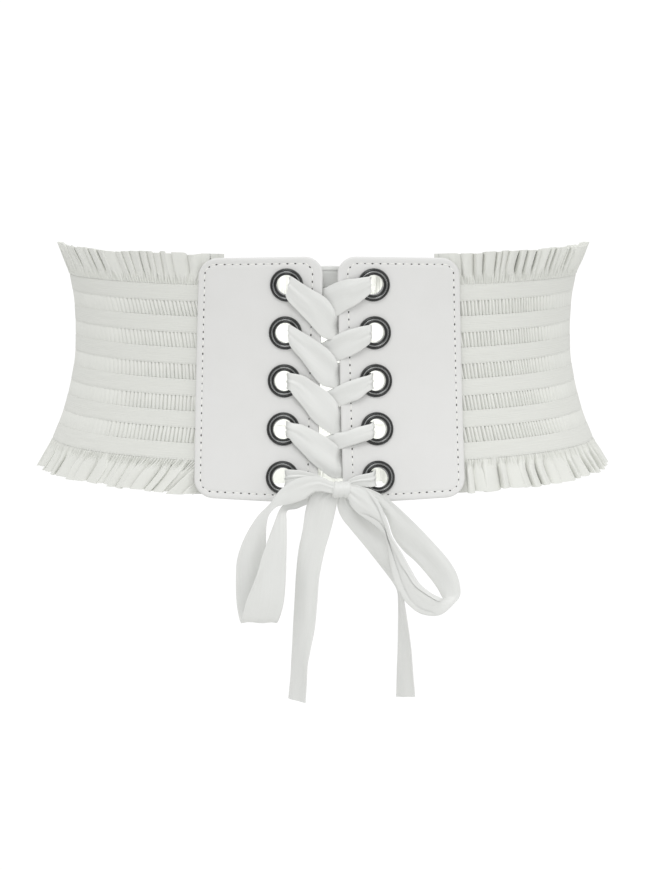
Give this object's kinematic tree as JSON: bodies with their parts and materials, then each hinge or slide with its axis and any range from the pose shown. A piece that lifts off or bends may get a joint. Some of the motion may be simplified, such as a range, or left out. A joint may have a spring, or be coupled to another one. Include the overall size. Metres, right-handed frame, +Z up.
{
  "type": "corset belt",
  "caption": "Wide corset belt of gathered elastic with ruffled edges and two smooth leather front panels, laced through eyelets with a satin ribbon tied in a bow.",
  "frame": {"origin": "centre of the waist line inside the belt, where a body holds it", "axes": "+Z up along the body, front with the lacing towards -Y, +X to the right as seen from the front"},
  "size_m": [0.2859, 0.22, 0.217],
  "materials": {
    "cloth": "matt off-white woven cloth, gathered",
    "elastic": "matt off-white ribbed elastic webbing",
    "leather": "smooth white faux leather with a soft sheen",
    "gunmetal": "dark gunmetal plating, polished",
    "satin": "off-white satin ribbon with a sheen"
  },
  "bodies": {
    "root": {"gathered_band": "cloth", "elastic_strip_1": "elastic", "elastic_strip_2": "elastic", "elastic_strip_3": "elastic", "elastic_strip_4": "elastic", "elastic_strip_5": "elastic", "elastic_strip_6": "elastic", "top_ruffle": "cloth", "bottom_ruffle": "cloth", "left_panel": "leather", "right_panel": "leather", "left_eyelet_1": "gunmetal", "left_eyelet_2": "gunmetal", "left_eyelet_3": "gunmetal", "left_eyelet_4": "gunmetal", "left_eyelet_5": "gunmetal", "right_eyelet_1": "gunmetal", "right_eyelet_2": "gunmetal", "right_eyelet_3": "gunmetal", "right_eyelet_4": "gunmetal", "right_eyelet_5": "gunmetal", "lace_ribbon": "satin", "bow_knot": "satin", "bow_loop_left": "satin", "bow_loop_right": "satin", "bow_tail_left": "satin", "bow_tail_right": "satin"}
  },
  "joints": []
}
